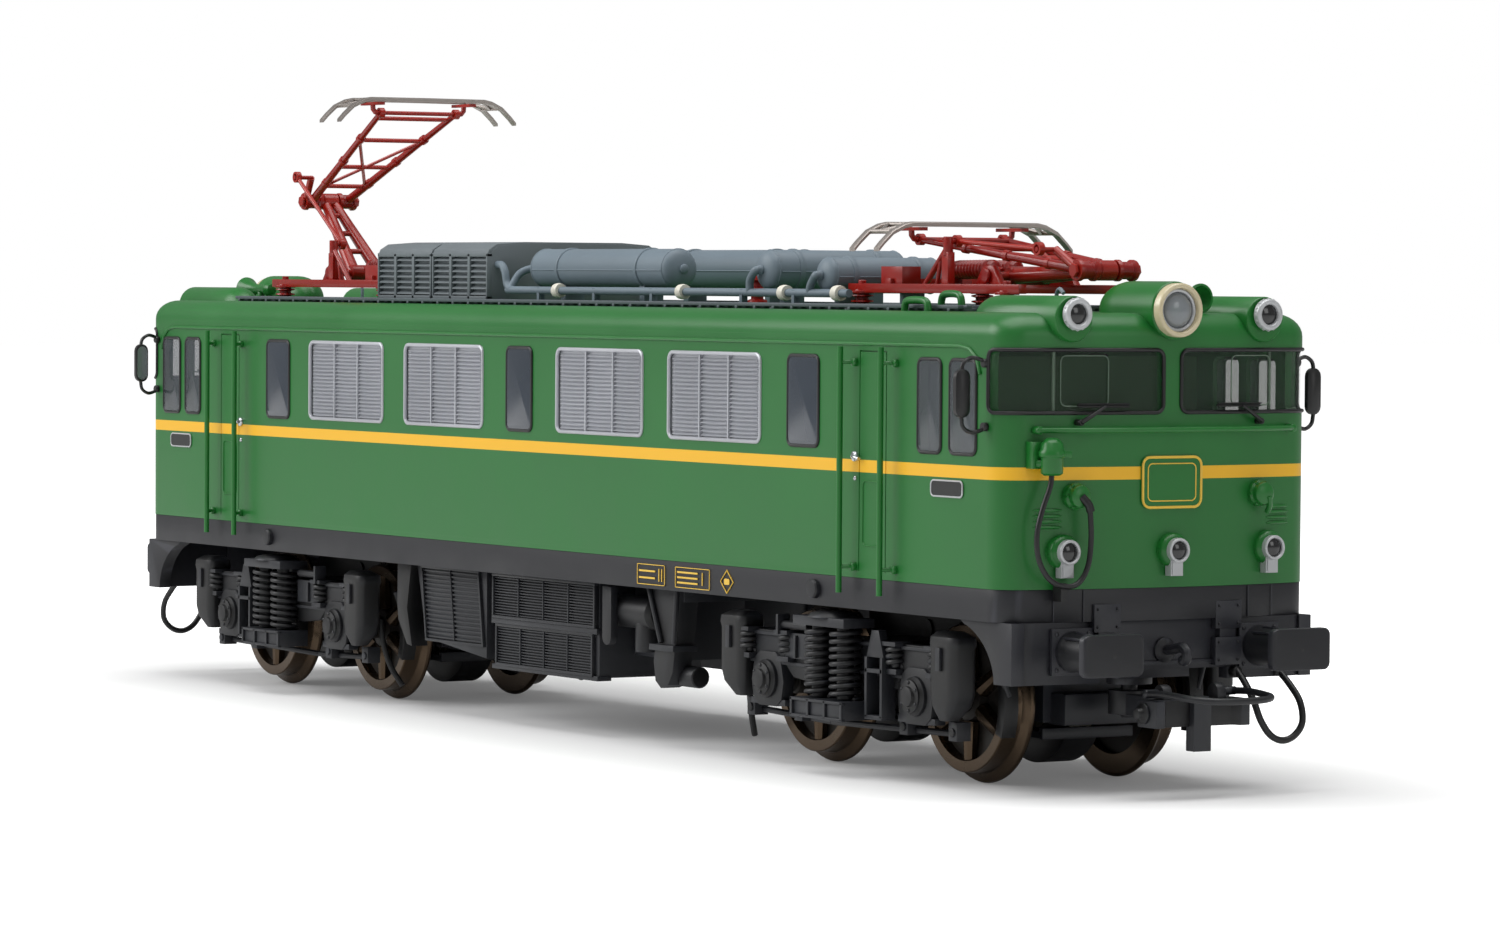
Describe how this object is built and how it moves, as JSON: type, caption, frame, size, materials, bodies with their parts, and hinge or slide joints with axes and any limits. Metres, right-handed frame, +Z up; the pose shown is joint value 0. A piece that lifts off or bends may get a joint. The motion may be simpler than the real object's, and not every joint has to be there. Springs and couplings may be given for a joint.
{
  "type": "model electric locomotive",
  "caption": "Model electric locomotive with a boxy double-ended body, swivelling bogies, single-arm pantographs, roof tanks and sprung-looking running gear.",
  "frame": {"origin": "middle of the model in plan, on the level of the lowest point of the wheel flanges", "axes": "+X along the model towards the end whose pantograph is folded, +Y across, +Z up"},
  "size_m": [0.2096, 0.043, 0.0691],
  "materials": {
    "green_paint": "satin",
    "dark_paint": "satin",
    "window_glass": "gloss",
    "black_rubber": "matte",
    "grille_silver": "satin",
    "black_plastic": "matte",
    "loop_wire": "satin",
    "lamp_trim": "gloss",
    "roof_grey": "matte",
    "insulator": "gloss",
    "red_metal": "satin",
    "cast_frame": "matte",
    "motor_steel": "satin",
    "brass_rotor": "satin",
    "white_plastic": "matte",
    "wheel_metal": "satin",
    "board_green": "satin",
    "cab_trim": "matte"
  },
  "bodies": {
    "loco_body": {"body_shell": "green_paint", "sole_band": "dark_paint", "end_beams": "dark_paint", "window_glass": "window_glass", "window_rubbers": "black_rubber", "side_grilles": "grille_silver", "handrails": "green_paint", "mirrors": "black_plastic", "wipers": "black_plastic", "lamp_housings": "green_paint", "lamp_rings": "lamp_trim", "lamp_lenses": "window_glass", "jumper_sockets": "green_paint", "jumper_cables": "black_rubber", "brake_hoses": "black_rubber", "roof_walkways": "roof_grey", "ventilator_boxes": "roof_grey", "air_tanks": "roof_grey", "roof_pipes": "roof_grey", "roof_insulators": "insulator", "horns": "green_paint", "pantograph_frames": "red_metal", "chassis_frame": "cast_frame", "motor_housing": "motor_steel", "circuit_board": "board_green", "cab_interiors": "cab_trim", "underfloor_boxes": "black_plastic", "buffer_housings": "dark_paint", "buffer_heads": "dark_paint", "body_screws": "motor_steel"},
    "drive_shaft": {"motor_rotor": "brass_rotor", "cardan_shafts": "white_plastic"},
    "bogie_1": {"bogie_frame_1": "black_plastic", "bogie_sides_1": "black_plastic", "bogie_springs_1": "black_plastic", "gear_cover_1": "black_plastic"},
    "worm_shaft_1": {"worm_1": "brass_rotor"},
    "drive_cog_1": {"drive_gear_1": "white_plastic"},
    "low_arm_1": {"lower_arm_1": "red_metal"},
    "high_arm_1": {"upper_arm_1": "red_metal"},
    "head_1": {"pan_head_1": "red_metal"},
    "guide_1": {"guide_rod_1": "red_metal"},
    "coupling_1": {"coupler_head_1": "black_plastic"},
    "loop_1": {"coupler_loop_1": "loop_wire"},
    "bogie_2": {"bogie_frame_2": "black_plastic", "bogie_sides_2": "black_plastic", "bogie_springs_2": "black_plastic", "gear_cover_2": "black_plastic"},
    "worm_shaft_2": {"worm_2": "brass_rotor"},
    "drive_cog_2": {"drive_gear_2": "white_plastic"},
    "low_arm_2": {"lower_arm_2": "red_metal"},
    "high_arm_2": {"upper_arm_2": "red_metal"},
    "head_2": {"pan_head_2": "red_metal"},
    "guide_2": {"guide_rod_2": "red_metal"},
    "coupling_2": {"coupler_head_2": "black_plastic"},
    "loop_2": {"coupler_loop_2": "loop_wire"},
    "axle_1": {"wheelset_1": "wheel_metal"},
    "axle_2": {"wheelset_2": "wheel_metal"},
    "axle_3": {"wheelset_3": "wheel_metal"},
    "axle_4": {"wheelset_4": "wheel_metal"}
  },
  "joints": [
    {"name": "drive_spin", "type": "hinge", "parent": "loco_body", "child": "drive_shaft", "pos_m": [0, 0, 0.02482], "axis": [1, 0, 0], "continuous": true},
    {"name": "bogie_swivel_1", "type": "hinge", "parent": "loco_body", "child": "bogie_1", "pos_m": [-0.06003, 0, 0.012], "axis": [0, 0, 1], "range_deg": [-8, 8]},
    {"name": "worm_spin_1", "type": "hinge", "parent": "bogie_1", "child": "worm_shaft_1", "pos_m": [-0.06003, 0, 0.02482], "axis": [1, 0, 0], "continuous": true},
    {"name": "gear_spin_1", "type": "hinge", "parent": "bogie_1", "child": "drive_cog_1", "pos_m": [-0.06003, 0, 0.014], "axis": [0, 1, 0], "continuous": true},
    {"name": "bogie_swivel_2", "type": "hinge", "parent": "loco_body", "child": "bogie_2", "pos_m": [0.06003, 0, 0.012], "axis": [0, 0, 1], "range_deg": [-8, 8]},
    {"name": "worm_spin_2", "type": "hinge", "parent": "bogie_2", "child": "worm_shaft_2", "pos_m": [0.06003, 0, 0.02482], "axis": [1, 0, 0], "continuous": true},
    {"name": "gear_spin_2", "type": "hinge", "parent": "bogie_2", "child": "drive_cog_2", "pos_m": [0.06003, 0, 0.014], "axis": [0, 1, 0], "continuous": true},
    {"name": "axle_spin_1", "type": "hinge", "parent": "bogie_1", "child": "axle_1", "pos_m": [-0.07343, 0, 0.0082], "axis": [0, 1, 0], "continuous": true},
    {"name": "axle_spin_2", "type": "hinge", "parent": "bogie_1", "child": "axle_2", "pos_m": [-0.04663, 0, 0.0082], "axis": [0, 1, 0], "continuous": true},
    {"name": "axle_spin_3", "type": "hinge", "parent": "bogie_2", "child": "axle_3", "pos_m": [0.04663, 0, 0.0082], "axis": [0, 1, 0], "continuous": true},
    {"name": "axle_spin_4", "type": "hinge", "parent": "bogie_2", "child": "axle_4", "pos_m": [0.07343, 0, 0.0082], "axis": [0, 1, 0], "continuous": true},
    {"name": "lower_arm_lift_1", "type": "hinge", "parent": "loco_body", "child": "low_arm_1", "pos_m": [-0.069, 0, 0.0487], "axis": [0, 1, 0], "range_deg": [-38, 4]},
    {"name": "upper_arm_fold_1", "type": "hinge", "parent": "low_arm_1", "child": "high_arm_1", "pos_m": [-0.07881, 0, 0.05723], "axis": [0, 1, 0], "range_deg": [-6.78, 55.87]},
    {"name": "head_level_1", "type": "hinge", "parent": "high_arm_1", "child": "head_1", "pos_m": [-0.05624, 0, 0.06727], "axis": [0, 1, 0], "range_deg": [-17.87, 2.78]},
    {"name": "guide_rod_swing_1", "type": "hinge", "parent": "loco_body", "child": "guide_1", "pos_m": [-0.06485, -0.0055, 0.05206], "axis": [0, 1, 0], "range_deg": [-38.47, 4.94]},
    {"name": "coupling_swing_1", "type": "hinge", "parent": "loco_body", "child": "coupling_1", "pos_m": [-0.0865, 0, 0.0084], "axis": [0, 0, 1], "range_deg": [-4, 4]},
    {"name": "loop_lift_1", "type": "hinge", "parent": "coupling_1", "child": "loop_1", "pos_m": [-0.09625, 0, 0.01], "axis": [0, 1, 0], "range_deg": [0, 60]},
    {"name": "lower_arm_lift_2", "type": "hinge", "parent": "loco_body", "child": "low_arm_2", "pos_m": [0.069, 0, 0.0487], "axis": [0, -1, 0], "range_deg": [0, 42]},
    {"name": "upper_arm_fold_2", "type": "hinge", "parent": "low_arm_2", "child": "high_arm_2", "pos_m": [0.08199, 0, 0.04929], "axis": [0, -1, 0], "range_deg": [-61.65, 1]},
    {"name": "head_level_2", "type": "hinge", "parent": "high_arm_2", "child": "head_2", "pos_m": [0.05747, 0, 0.05227], "axis": [0, -1, 0], "range_deg": [-1, 19.65]},
    {"name": "guide_rod_swing_2", "type": "hinge", "parent": "loco_body", "child": "guide_2", "pos_m": [0.06485, -0.0055, 0.05206], "axis": [0, -1, 0], "range_deg": [-1, 42.41]},
    {"name": "coupling_swing_2", "type": "hinge", "parent": "loco_body", "child": "coupling_2", "pos_m": [0.0865, 0, 0.0084], "axis": [0, 0, 1], "range_deg": [-4, 4]},
    {"name": "loop_lift_2", "type": "hinge", "parent": "coupling_2", "child": "loop_2", "pos_m": [0.09625, 0, 0.01], "axis": [0, -1, 0], "range_deg": [0, 60]}
  ],
  "couplings": [
    {"joint": "worm_spin_1", "follows": "drive_spin", "ratio": 1},
    {"joint": "gear_spin_1", "follows": "drive_spin", "ratio": 0.029412},
    {"joint": "worm_spin_2", "follows": "drive_spin", "ratio": 1},
    {"joint": "gear_spin_2", "follows": "drive_spin", "ratio": 0.029412},
    {"joint": "axle_spin_1", "follows": "drive_spin", "ratio": -0.047619},
    {"joint": "axle_spin_2", "follows": "drive_spin", "ratio": -0.047619},
    {"joint": "axle_spin_3", "follows": "drive_spin", "ratio": -0.047619},
    {"joint": "axle_spin_4", "follows": "drive_spin", "ratio": -0.047619},
    {"joint": "upper_arm_fold_1", "follows": "lower_arm_lift_1", "ratio": -1.444},
    {"joint": "head_level_1", "follows": "lower_arm_lift_1", "ratio": 0.444},
    {"joint": "guide_rod_swing_1", "follows": "lower_arm_lift_1", "ratio": 0.986},
    {"joint": "upper_arm_fold_2", "follows": "lower_arm_lift_2", "ratio": -1.444},
    {"joint": "head_level_2", "follows": "lower_arm_lift_2", "ratio": 0.444},
    {"joint": "guide_rod_swing_2", "follows": "lower_arm_lift_2", "ratio": 0.986}
  ]
}
